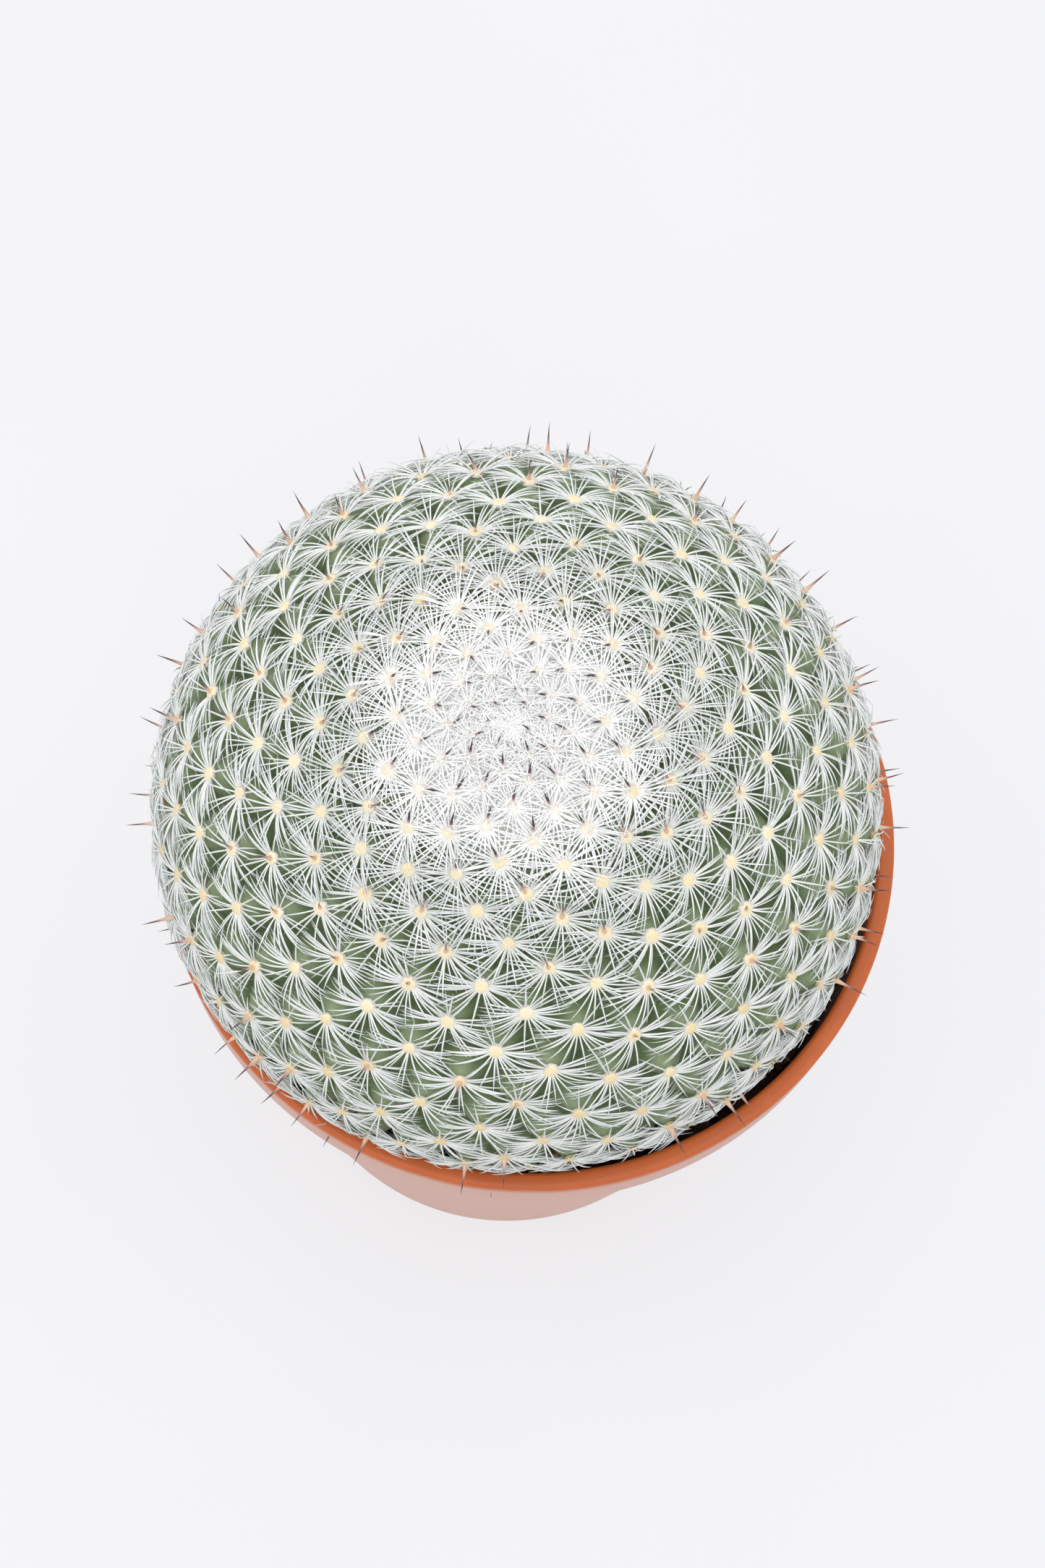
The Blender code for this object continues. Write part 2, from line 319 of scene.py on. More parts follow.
@dataclass(frozen=True)
class MouldedPlastic(Finish):
    """Injection-moulded polypropylene: satin, with fine turned lines and a painted pale haze of
    light on the wall below the lip.
    """

    lighter: str = "CC6A34"
    deeper: str = "B65823"
    cloud: float = 9.0 * MM
    # This pale colour and the fields down to the wobble of its edge paint a haze on the wall below
    # the lip: painted light that stands in for light washing over the wall, not a real deposit.
    painted_haze: str = "D0B4A9"
    painted_haze_top: float = 95.4 * MM
    painted_haze_full: float = 93.0 * MM
    painted_haze_share: float = 0.7
    painted_haze_streaks: Range = (0.8, 1.2)
    painted_haze_wobble: float = 2.4 * MM
    line_pitch: float = 0.35 * MM
    line_share: float = 0.35
    grains_per_mm: float = 2.2
    relief: float = 0.03 * MM
    satin: Range = (0.38, 0.62)

    def paint(self, add: Add) -> dict:
        """Vary the colour in soft clouds, paint a pale haze of light on the wall below the lip and
        turn faint lines round the axis.

        Args:
            add: adds a node to the material.

        Returns:
            What feeds the shader.
        """
        place = add("TexCoord").outputs["Object"]
        cloudy = {"Vector": place, "Scale": 1.0 / self.cloud, "Detail": 5.0, "Roughness": 0.6}
        clouds = add("TexNoise", cloudy)
        stops = ((0.28, self.deeper), (0.52, self.colour), (0.78, self.lighter))
        plastic = add("ValToRGB", {"Fac": clouds}, stops)
        height = add("SeparateXYZ", {"Vector": place}).outputs["Z"]
        # Painted haze of light: pale below the lip, its edge wobbled by the clouds and its amount
        # streaked by them.
        painted_haze_wobble = {0: clouds, 1: self.painted_haze_wobble, 2: height}
        level = add("Math", painted_haze_wobble, operation="MULTIPLY_ADD")
        fade = {"From Min": self.painted_haze_full, "From Max": self.painted_haze_top, "To Max": 0.0}
        low = add("MapRange", {"Value": level, "To Min": self.painted_haze_share, **fade})
        thin, thick = self.painted_haze_streaks
        streaks = add("MapRange", {"Value": clouds, "To Min": thin, "To Max": thick})
        painted_haze_amount = add("Math", {0: low, 1: streaks}, operation="MULTIPLY")
        coat = {"Factor": painted_haze_amount, "A": plastic, "B": linear(self.painted_haze)}
        flat = {0: place, 1: (1.0, 1.0, 0.0)}
        outward = add("VectorMath", flat, operation="MULTIPLY")
        radius = add("VectorMath", {0: outward}, operation="LENGTH")
        turns = {0: radius, 1: math.tau / self.line_pitch}
        phase = add("Math", turns, operation="MULTIPLY")
        lines = add("Math", {0: phase}, operation="SINE")
        fine = {"Vector": place, "Scale": self.grains_per_mm / MM, "Detail": 2.0}
        grain = add("TexNoise", fine)
        both = {0: lines, 1: self.line_share, 2: grain}
        relief = add("Math", both, operation="MULTIPLY_ADD")
        bump = {"Height": relief, "Strength": 0.35, "Distance": self.relief}
        smooth, rough = self.satin
        return {
            "Base Color": add("Mix", coat, data_type="RGBA"),
            "Normal": add("Bump", bump),
            "Roughness": add("MapRange", {"Value": clouds, "To Min": smooth, "To Max": rough}),
        }


@dataclass(frozen=True)
class PottingMix(Finish):
    """Dry peat and bark: dark, dull crumbs with paler fibres."""

    pale: str = "6B5140"
    dark: str = "1E1511"
    crumb: float = 2.2 * MM
    fibres_per_crumb: float = 3.0
    relief: float = 0.5 * MM

    def paint(self, add: Add) -> dict:
        """Break the surface into crumbs of mixed browns.

        Args:
            add: adds a node to the material.

        Returns:
            What feeds the shader.
        """
        place = add("TexCoord").outputs["Object"]
        crumbs = add("TexVoronoi", {"Vector": place, "Scale": 1.0 / self.crumb})
        size = {"Scale": self.fibres_per_crumb / self.crumb, "Detail": 6.0, "Roughness": 0.7}
        fine = add("TexNoise", {"Vector": place, **size})
        tint = add("Math", {0: crumbs, 1: fine}, operation="MULTIPLY")
        stops = ((0.05, self.pale), (0.25, self.colour), (0.5, self.dark))
        bump = {"Height": fine, "Strength": 0.9, "Distance": self.relief}
        return {
            "Base Color": add("ValToRGB", {"Fac": tint}, stops),
            "Normal": add("Bump", bump),
        }


@dataclass(frozen=True)
class CactusSkin(Finish):
    """Living cactus skin: waxy, dusty green, with painted shade darkening the grooves, felted white
    at the crown.
    """

    # Painted shade: the darker green laid into the grooves between the tubercles.
    groove_shade: str = "46583A"
    waxy: str = "8C9C78"
    felt: str = "FDFDFB"
    mottles_per_mm: float = 0.35
    mottle_share: float = 0.6
    speckle: float = 0.45 * MM
    relief: float = 0.1 * MM
    flesh_share: float = 0.08
    flesh_depth: float = 1.2 * MM

    def paint(self, add: Add) -> dict:
        """Paint shade into the grooves, mottle the skin and turn it to felt at the crown.

        Args:
            add: adds a node to the material.

        Returns:
            What feeds the shader.
        """
        place = add("TexCoord").outputs["Object"]
        height = add("Attribute", attribute_name="tubercle").outputs["Fac"]
        felt = add("Attribute", attribute_name="felt").outputs["Fac"]
        size = {"Scale": self.mottles_per_mm / MM, "Detail": 5.0, "Roughness": 0.65}
        mottle = add("TexNoise", {"Vector": place, **size})
        tone = {0: mottle, 1: self.mottle_share, 2: height}
        shade = add("Math", tone, operation="MULTIPLY_ADD")
        # Painted shade: the tubercle height runs the colour from the darker groove shade up to the
        # paler waxy tips.
        stops = ((0.22, self.groove_shade), (0.62, self.colour), (0.98, self.waxy))
        skin = add("ValToRGB", {"Fac": shade}, stops)
        coat = {"Factor": felt, "A": skin, "B": linear(self.felt)}
        papillae = add("TexVoronoi", {"Vector": place, "Scale": 1.0 / self.speckle})
        bump = {"Height": papillae, "Strength": 0.25, "Distance": self.relief}
        return {
            "Base Color": add("Mix", coat, data_type="RGBA"),
            "Normal": add("Bump", bump),
            "Subsurface Weight": self.flesh_share,
            "Subsurface Radius": (0.6, 1.0, 0.3),
            "Subsurface Scale": self.flesh_depth,
        }


@dataclass(frozen=True)
class WoolFelt(Finish):
    """Areole wool: short matted hairs, near white when young and straw-coloured with age."""

    young: str = "FCF6EE"
    old: str = "ECCF92"
    tuft: float = 0.28 * MM
    tuft_share: float = 0.2
    relief: float = 0.25 * MM

    def paint(self, add: Add) -> dict:
        """Colour the wool by its age and roughen it into tufts.

        Args:
            add: adds a node to the material.

        Returns:
            What feeds the shader.
        """
        place = add("TexCoord").outputs["Object"]
        age = add("Attribute", attribute_name="age").outputs["Fac"]
        size = {"Scale": 1.0 / self.tuft, "Detail": 4.0, "Roughness": 0.7}
        tufts = add("TexNoise", {"Vector": place, **size})
        years = {0: tufts, 1: self.tuft_share, 2: age}
        tone = add("Math", years, operation="MULTIPLY_ADD")
        stops = ((0.1, self.young), (0.45, self.colour), (1.0, self.old))
        bump = {"Height": tufts, "Strength": 0.9, "Distance": self.relief}
        return {
            "Base Color": add("ValToRGB", {"Fac": tone}, stops),
            "Normal": add("Bump", bump),
            "Sheen Weight": 0.4,
            "Sheen Roughness": 0.5,
        }


@dataclass(frozen=True)
class SpineHorn(Finish):
    """Spine tissue: hard, slightly glossy horn whose colour changes from foot to tip."""

    stops: Stops
    spread: float

    def paint(self, add: Add) -> dict:
        """Run the colours along each spine, each one a little different from the next.

        Args:
            add: adds a node to the material.

        Returns:
            What feeds the shader.
        """
        layout = add("UVMap", uv_map=SPINE_MAP)
        parts = add("SeparateXYZ", {"Vector": layout})
        own = add("TexWhiteNoise", {"W": parts}, noise_dimensions="1D")
        shift = {0: own, 1: self.spread, 2: parts.outputs["Y"]}
        run = add("Math", shift, operation="MULTIPLY_ADD")
        return {"Base Color": add("ValToRGB", {"Fac": run}, self.stops)}


@dataclass(frozen=True)
class LitTable(Finish):
    """Matt translucent acrylic of a product table, lit softly from below."""

    glow: str = "F3F3F5"
    glow_strength: float = 0.74
    cloud: str = "787879"
    clouds_per_metre: float = 9.0

    def paint(self, add: Add) -> dict:
        """Let the sheet glow evenly and vary its own grey by a hair.

        Args:
            add: adds a node to the material.

        Returns:
            What feeds the shader.
        """
        place = add("TexCoord").outputs["Object"]
        size = {"Scale": self.clouds_per_metre, "Detail": 3.0}
        cloud = add("TexNoise", {"Vector": place, **size})
        stops = ((0.3, self.colour), (0.7, self.cloud))
        return {
            "Base Color": add("ValToRGB", {"Fac": cloud}, stops),
            "Emission Color": linear(self.glow),
            "Emission Strength": self.glow_strength,
        }


# Terracotta-coloured polypropylene, moulded: a soft satin orange-brown.
POT_PLASTIC = MouldedPlastic("terracotta_polypropylene", "BE5B20", 0.46, 1.49)
# Peat-based potting mix, dry: nearly black between the crumbs.
SOIL_MIX = PottingMix("peat_potting_mix", "4A322A", 0.95, 1.35)
# Cactus epidermis with its wax bloom: a dusty mid green.
SKIN = CactusSkin("cactus_epidermis", "6F8359", 0.5, 1.4)
# Areole wool: cream felt.
FELT = WoolFelt("areole_wool", "FBEDC6", 0.95, 1.5)
# Crown wool: white hairs.
WOOL_RUN = ((0.0, "FEFEFC"), (0.6, "FEFEFE"))
WOOL = SpineHorn("crown_wool", "FEFEFD", 0.8, 1.5, WOOL_RUN, 0.3)
# Radial spines: glassy white horn, a little creamy at the foot.
WHITE_RUN = ((0.0, "EDE6CF"), (0.12, "E3E5E0"), (0.9, "E1E5E5"), (1.0, "D9DDDD"))
WHITE_HORN = SpineHorn("white_spine_horn", "E0E4E4", 0.45, 1.54, WHITE_RUN, 0.06)
# Young radial spines of the crown: the same horn, still pure white.
NEW_RUN = ((0.0, "FCFAF4"), (0.3, "FCFCFB"), (1.0, "FAFBFB"))
NEW_HORN = SpineHorn("young_white_spine_horn", "FCFCFC", 0.5, 1.5, NEW_RUN, 0.06)
# Central spines of the crown: white below, plum to nearly black at the tip.
PLUM_RUN = ((0.0, "FDFCFA"), (0.34, "F8F2EE"), (0.48, "A98B8A"), (0.58, "54393F"), (0.76, "25181E"))
PLUM_HORN = SpineHorn("young_central_horn", "6A4A50", 0.38, 1.54, PLUM_RUN, 0.06)
# Central spines lower down: cream at the foot, rose-brown above, dark at the tip.
ROSE_RUN = ((0.0, "F0CBA6"), (0.2, "EAC2A4"), (0.38, "D9B29E"), (0.54, "9A7C78"), (0.72, "4C3840"))
ROSE_HORN = SpineHorn("mature_central_horn", "B98268", 0.38, 1.54, ROSE_RUN, 0.12)
# Opal acrylic, matt: most of its brightness is the light that comes through it.
TABLE = LitTable("opal_acrylic_table", "747475", 0.9, 1.49)


# ---- the stem's shape


@dataclass(frozen=True)
class Course:
    """A measure that changes in steps on the way down from the growing point.

    Each step names the new value and the two arc lengths, in millimetres,
    between which the measure eases to it.
    """

    start: float
    steps: tuple[tuple[float, float, float], ...]

    def at(self, arc: float) -> float:
        """Read the measure.

        Args:
            arc: arc length from the growing point, in metres.

        Returns:
            The measure there.
        """
        value = self.start
        for target, first, last in self.steps:
            value = between(value, target, smooth_step(arc, first * MM, last * MM))
        return value


@dataclass(frozen=True)
class Areole:
    """One spine cushion on the tip of a tubercle."""

    place: Vector
    normal: Vector
    crownward: Vector
    arc: float
    index: int

    @property
    def side(self) -> Vector:
        """The direction round the stem, at a right angle to the other two."""
        return self.crownward.cross(self.normal).normalized()


@dataclass(frozen=True)
class StemShape:
    """The squat ball of the stem and the spiral order of its tubercles."""

    radius: float = 49.5 * MM
    top_height: float = 40.0 * MM
    lower_depth: float = 35.0 * MM
    centre: tuple[float, float, float] = (-2.1 * MM, -0.5 * MM, 105.0 * MM)
    lean_x: float = math.radians(-2.8)
    lean_y: float = math.radians(-5.2)
    pair_turn: float = math.radians(137.508 / 2.0)
    first_turn: float = math.radians(146.8)
    first_arc: float = 1.6 * MM
    step_crown: float = 0.58 * MM
    step_body: float = 0.41 * MM
    step_reach: float = 27.0 * MM
    buried_height: float = -22.0 * MM
    wool_depth: float = 1.1 * MM
    wool: Course = Course(0.0, ((1.0, 3.5, 14.0),))
    swell: float = 0.7 * MM
    swelling: Course = Course(0.0, ((1.0, 26.0, 50.0),))
    outline_steps: int = 720

    def world(self) -> Matrix:
        """Lean the stem's own frame into the pot.

        Returns:
            The transform from the stem's own frame to the pot's.
        """
        axis = Vector((math.sin(self.lean_x), math.sin(self.lean_y), 1.0)).normalized()
        turn = Vector((0.0, 0.0, 1.0)).rotation_difference(axis)
        return Matrix.Translation(self.centre) @ turn.to_matrix().to_4x4()

    def outline(self) -> tuple[np.ndarray, np.ndarray, np.ndarray]:
        """Trace the ball from the growing point to the buried end.

        Returns:
            The arc length, radius and height of each step.
        """
        angle = np.linspace(0.0, math.pi, self.outline_steps + 1)
        half_height = np.where(angle < math.pi / 2.0, self.top_height, self.lower_depth)
        radius = self.radius * np.sin(angle)
        height = half_height * np.cos(angle)
        steps = np.hypot(np.diff(radius), np.diff(height))
        return np.concatenate([[0.0], np.cumsum(steps)]), radius, height

    def at(self, arc: float) -> tuple[float, float]:
        """The ball's radius and height at an arc length."""
        arcs, radii, heights = self.outline()
        return float(np.interp(arc, arcs, radii)), float(np.interp(arc, arcs, heights))

    def on_surface(self, point: Vector) -> tuple[Vector, Vector]:
        """Lay a point on the ball.

        Args:
            point: any point near the ball, in the stem's own frame.

        Returns:
            The point on the surface and the outward normal there.
        """
        half_height = self.top_height if point.z > 0.0 else self.lower_depth
        size = Vector((self.radius, self.radius, half_height))
        unit = Vector(point[i] / size[i] for i in range(3)).normalized()
        normal = Vector(unit[i] / size[i] for i in range(3)).normalized()
        return Vector(unit[i] * size[i] for i in range(3)), normal

    def wool_height(self, arc: float) -> float:
        """How far the crown's wool stands above the tubercles at an arc length."""
        return self.wool_depth * (1.0 - self.wool.at(arc))

    def tip_height(self, arc: float) -> float:
        """How far a tubercle's tip stands above the ball at an arc length."""
        return self.wool_height(arc) + self.swell * self.swelling.at(arc)

    def last_arc(self) -> float:
        """Arc length at which the soil covers the stem."""
        arcs, _, heights = self.outline()
        return float(np.interp(-self.buried_height, -heights, arcs))

    def areoles(self) -> list[Areole]:
        """Set areoles in opposite pairs, each pair turned from the one before.

        Returns:
            Every areole from the growing point to the soil, in the stem's own frame.
        """
        found: list[Areole] = []
        arc, turn, end = self.first_arc, self.first_turn, self.last_arc()
        while arc < end:
            radius, height = self.at(arc)
            for angle in (turn, turn + math.pi):
                point = Vector((radius * math.cos(angle), radius * math.sin(angle), height))
                place, normal = self.on_surface(point)
                level = Vector((-math.sin(angle), math.cos(angle), 0.0))
                found.append(Areole(place, normal, normal.cross(level), arc, len(found)))
            crown_share = math.exp(-((arc / self.step_reach) ** 2))
            arc += between(self.step_body, self.step_crown, crown_share)
            turn += self.pair_turn
        return found


@dataclass
class StemSkin:
    """The stem's skin: rounded tubercles with grooves between them."""

    shape: StemShape
    cuts: int = 7
    groove_depth: float = 3.4 * MM
    groove_to_tip: Range = (-0.1, 0.95)
    crown_share: float = 0.35
    full_arc: float = 30.0 * MM
    soil_fade: float = 6.0 * MM
    wool_fill: float = 0.8
    lump: float = 0.5 * MM
    lump_size: float = 1.6 * MM
    felt: Course = Course(0.0, ((1.0, 10.0, 20.0),))
    rings: int = 4
    ring_points: int = 26
    ring_least: int = 6

    def underside(self) -> list[Vector]:
        """Close the smooth, buried end.

        Returns:
            The pole and the rings of points round it.
        """
        first, end = self.shape.last_arc(), self.shape.outline()[0][-1]
        points = [Vector((0.0, 0.0, -self.shape.lower_depth))]
        for ring in range(self.rings):
            share = (ring + 0.5) / self.rings
            radius, height = self.shape.at(between(first, end, share))
            count = max(self.ring_least, round(self.ring_points * (1.0 - share)))
            for index in range(count):
                turn = math.tau * (index + 0.5 * (ring % 2)) / count
                points.append(Vector((radius * math.cos(turn), radius * math.sin(turn), height)))
        return points

    def build(self, areoles: list[Areole]) -> None:
        """Build the skin.

        Args:
            areoles: the tips of the tubercles.
        """
        bm = bmesh.new()
        tips = [areole.place for areole in areoles]
        for point in tips + self.underside():
            bm.verts.new(point)
        bmesh.ops.convex_hull(bm, input=bm.verts)
        bmesh.ops.triangulate(bm, faces=bm.faces)
        bmesh.ops.subdivide_edges(bm, edges=bm.edges, cuts=self.cuts, use_grid_fill=True)
        bmesh.ops.triangulate(bm, faces=bm.faces)
        self.swell(bm, tips)
        bmesh.ops.transform(bm, matrix=self.shape.world(), verts=bm.verts)
        bmesh.ops.recalc_face_normals(bm, faces=bm.faces)
        skin = make_piece("stem_skin", bm, SKIN.material())
        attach(skin, ROOT_BODY)
        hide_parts("cactus_stem")

    def swell(self, bm: BMesh, tips: list[Vector]) -> None:
        """Round the hull out into tubercles and mark their height and felt.

        Args:
            bm: the hull, cut fine.
            tips: the tips of the tubercles.
        """
        tubercle = bm.verts.layers.float.new("tubercle")
        felt = bm.verts.layers.float.new("felt")
        tree = kdtree.KDTree(len(tips))
        for index, tip in enumerate(tips):
            tree.insert(tip, index)
        tree.balance()
        arcs, _, heights = self.shape.outline()
        last_arc = self.shape.last_arc()
        for vertex in bm.verts:
            surface, normal = self.shape.on_surface(vertex.co)
            near, far = [item[2] for item in tree.find_n(surface, 2)]
            arc = float(np.interp(-surface.z, -heights, arcs))
            height = smooth_step((far - near) / (far + near), *self.groove_to_tip)
            grown = min(1.0, between(self.crown_share, 1.0, arc / self.full_arc))
            above_soil = min(1.0, max(0.0, (last_arc - arc) / self.soil_fade))
            sunk = self.groove_depth * (1.0 - height) * grown * above_soil
            wool = self.shape.wool_height(arc)
            filled = 1.0 - self.wool_fill * wool / self.shape.wool_depth
            lump = self.lump * (1.0 - filled) * noise.noise(surface / self.lump_size)
            swollen = self.shape.swell * self.shape.swelling.at(arc) * height * above_soil
            vertex.co = surface + normal * (wool + swollen + lump - sunk * filled)
            vertex[tubercle] = height
            vertex[felt] = 1.0 - self.felt.at(arc)


@dataclass
class AreolePads:
    """The felt cushions that the spines grow from."""

    shape: StemShape
    width: float = 1.18 * MM
    depth_share: float = 0.94
    height: float = 0.55 * MM
    growth: Course = Course(0.5, ((1.0, 2.0, 18.0),))
    creaming: Course = Course(0.0, ((1.0, 6.0, 22.0),))
    fading: Course = Course(0.0, ((1.0, 34.0, 72.0),))
    old_size: float = 0.84
    size_range: Range = (0.9, 1.1)
    age_drift: float = 0.1
    cream_share: float = 0.42
    edge: Range = (0.45, 1.0)
    edge_fade: float = 0.38
    lump: float = 0.16
    lump_pitch: float = 1.7
    lump_shuffle: float = 900.0
    seed: int = SEED + 1

    def build(self, areoles: list[Areole]) -> None:
        """Set one pad on every tubercle.

        Args:
            areoles: where the pads sit.
        """
        rng = random.Random(self.seed)
        whole = joined(self.pad(areole, rng) for areole in areoles)
        bmesh.ops.transform(whole, matrix=self.shape.world(), verts=whole.verts)
        pads = make_piece("areole_pads", whole, FELT.material())
        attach(pads, ROOT_BODY)

    def pad(self, areole: Areole, rng: random.Random) -> BMesh:
        """Shape one pad and mark the age of its wool.

        Args:
            areole: where it sits.
            rng: the draw for all pads.

        Returns:
            The pad in its place.
        """
        bm = bmesh.new()
        bmesh.ops.create_uvsphere(bm, u_segments=10, v_segments=6, radius=1.0)
        age = bm.verts.layers.float.new("age")
        faded = self.fading.at(areole.arc)
        years = self.cream_share * self.creaming.at(areole.arc) + (1.0 - self.cream_share) * faded
        size = self.growth.at(areole.arc)
        size *= between(1.0, self.old_size, faded) * rng.uniform(*self.size_range)
        drift = rng.uniform(-self.age_drift, self.age_drift)
        for vertex in bm.verts:
            edge = smooth_step(math.hypot(vertex.co.x, vertex.co.y), *self.edge)
            vertex[age] = min(1.0, max(0.0, years + drift - self.edge_fade * edge))
            spot = vertex.co * self.lump_pitch + areole.place * self.lump_shuffle
            vertex.co *= 1.0 + self.lump * noise.noise(spot)
        across = self.width * size
        stretch = Matrix.Diagonal((across, across * self.depth_share, self.height * size, 1.0))
        seat = areole.place + areole.normal * self.shape.tip_height(areole.arc)
        z_axis = areole.normal.normalized()
        x_axis = areole.crownward.cross(z_axis).normalized()
        frame = frame_of(seat, x_axis, z_axis.cross(x_axis), z_axis)
        bmesh.ops.transform(bm, matrix=frame @ stretch, verts=bm.verts)
        return bm


# ---- spines and wool


@dataclass(frozen=True)
class SpineBlank:
    """A unit spine, one long, that runs along +X and bends down, ready to be placed."""

    bend: float
    thickness: float
    sides: int = 4
    steps: int = 7
    tip_share: float = 0.1
    taper_from: float = 0.5
    flare: float = 0.0
    flare_power: int = 6

    def mesh(self) -> Mesh:
        """Sweep a small ring along an arc and draw it out to a point.

        Returns:
            The blank, with its run from foot to tip in its UV map.
        """
        bm = bmesh.new()
        across = Matrix.Rotation(math.pi / 2.0, 4, "Y")
        bmesh.ops.create_circle(bm, segments=self.sides, radius=self.thickness, matrix=across)
        bmesh.ops.spin(
            bm,
            geom=bm.verts[:] + bm.edges[:],
            cent=(0.0, 0.0, -1.0 / self.bend),
            axis=(0.0, 1.0, 0.0),
            angle=self.bend,
            steps=self.steps,
            use_merge=False,
        )
        layout = bm.loops.layers.uv.new(SPINE_MAP)
        bm.verts.ensure_lookup_table()
        rings = [bm.verts[i : i + self.sides] for i in range(0, len(bm.verts), self.sides)]
        run_of = {}
        for step, members in enumerate(rings):
            run = step / self.steps
            centre = sum((vertex.co for vertex in members), Vector()) / self.sides
            thin = max(0.0, (run - self.taper_from) / (1.0 - self.taper_from))
            flared = 1.0 + self.flare * (1.0 - run) ** self.flare_power
            share = between(1.0, self.tip_share, thin) * flared
            for vertex in members:
                vertex.co = centre + (vertex.co - centre) * share
                run_of[vertex] = run
        for members in (rings[0], rings[-1]):
            bmesh.ops.contextual_create(bm, geom=members)
        bmesh.ops.recalc_face_normals(bm, faces=bm.faces)
        for face in bm.faces:
            for loop in face.loops:
                loop[layout].uv = (0.5, run_of[loop.vert])
        return mesh_of("spine_blank", bm)


class SpineZone(Enum):
    """The belts of the stem that carry radial spines, by arc length in millimetres."""

    CROWN = (0.0, 19.0)
    UPPER = (19.0, 37.0)
    MIDDLE = (37.0, 55.0)
    LOWER = (55.0, 70.0)
    SKIRT = (70.0, 82.0)
    HEM = (82.0, 200.0)

    def holds(self, areole: Areole) -> bool:
        """Whether an areole lies in this belt."""
        low, high = self.value
        return low * MM <= areole.arc < high * MM


def set_spine(
    tuft: BMesh, blank: Mesh, foot: Vector, run: Vector, outward: Vector, length: float, roll: float
) -> None:
    """Add one spine to a tuft.

    Args:
        tuft: the spines that grow with it.
        blank: the unit spine it is cut from.
        foot: where it starts.
        run: the direction it leaves in.
        outward: the side it arches towards.
        length: its length.
        roll: how far it is turned about its own length, in radians.
    """
    x_axis = run.normalized()
    y_axis = outward.cross(x_axis).normalized()
    place = frame_of(foot, x_axis, y_axis, x_axis.cross(y_axis)) @ Matrix.Rotation(roll, 4, "X")
    start = len(tuft.verts)
    tuft.from_mesh(blank)
    tuft.verts.ensure_lookup_table()
    size = Matrix.Diagonal((length, length, length, 1.0))
    bmesh.ops.transform(tuft, matrix=place @ size, verts=tuft.verts[start:])


@dataclass
class SpineCoat:
    """What every coat of spines or hairs on the stem shares."""

    shape: StemShape
    seed: int = SEED
    bends: tuple[float, ...] = ()

    def blanks(self, share: float, **form: float) -> list[Mesh]:
        """Make one blank for each amount of bend.

        Args:
            share: the spine's radius as a share of its length.
            **form: what else sets the blank's shape.

        Returns:
            The blanks.
        """
        return [SpineBlank(math.radians(bend), share, **form).mesh() for bend in self.bends]

    def finish(self, name: str, horn: SpineHorn, tufts: Iterable[BMesh], blank: Mesh) -> None:
        """Join tufts into a finished piece whose map tells its spines apart.

        Args:
            name: the piece's name.
            horn: what the spines are made of.
            tufts: the spines.
            blank: a unit spine, for the size of its map.
        """
        whole = joined(tufts)
        bmesh.ops.transform(whole, matrix=self.shape.world(), verts=whole.verts)
        obj = make_piece(name, whole, bpy.data.materials.get(horn.name) or horn.material())
        layout = obj.data.uv_layers[SPINE_MAP]
        places = np.empty(len(obj.data.loops) * 2, np.float32)
        layout.uv.foreach_get("vector", places)
        places = places.reshape(-1, len(blank.loops), 2)
        draw = np.random.default_rng(self.seed).integers(0, SPINE_STRIPS, len(places))
        places[:, :, 0] = ((draw + 0.5) / SPINE_STRIPS)[:, None]
        layout.uv.foreach_set("vector", places.ravel())
        bake = obj.data.uv_layers.new(name=BAKE_MAP)
        bake.uv.foreach_set("vector", places.ravel())
        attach(obj, ROOT_BODY)


